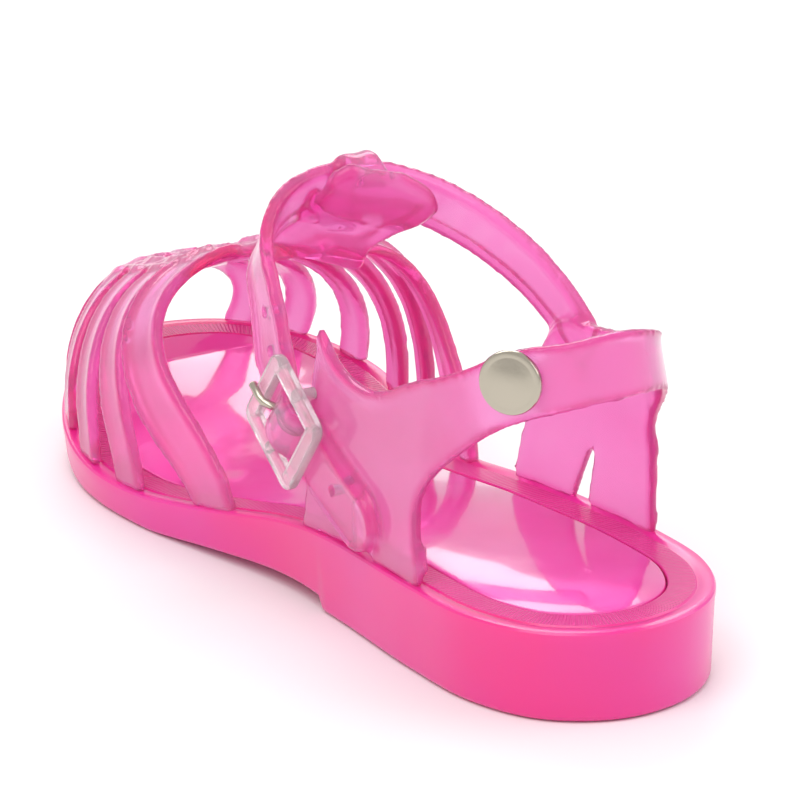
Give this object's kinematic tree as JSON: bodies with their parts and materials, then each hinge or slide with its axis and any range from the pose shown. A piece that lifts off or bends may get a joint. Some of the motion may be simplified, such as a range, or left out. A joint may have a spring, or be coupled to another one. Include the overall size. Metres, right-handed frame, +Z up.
{
  "type": "jelly sandal",
  "caption": "Left jelly sandal for a child in clear pink plastic: strap cage with a woven spine, ankle strap with keeper and buckle, split quarters, heel band with a metal stud, moulded sole.",
  "frame": {"origin": "on the ground, at the middle of the sole's length and of the overall width", "axes": "+Y from heel to toe, +X to the inner side of the foot, +Z up"},
  "size_m": [0.0754, 0.19, 0.0786],
  "materials": {
    "jelly_sole": "clear pink, glossy",
    "jelly_insole": "clear pink, glossy",
    "jelly_upper": "clear pink, glossy",
    "clear_buckle": "clear, faintly pink, glossy",
    "plated_metal": "polished, warm silver"
  },
  "bodies": {
    "root": {"outsole": "jelly_sole", "insole": "jelly_insole", "upper": "jelly_upper", "buckle": "clear_buckle", "prong": "plated_metal", "rivet": "plated_metal"}
  },
  "joints": []
}
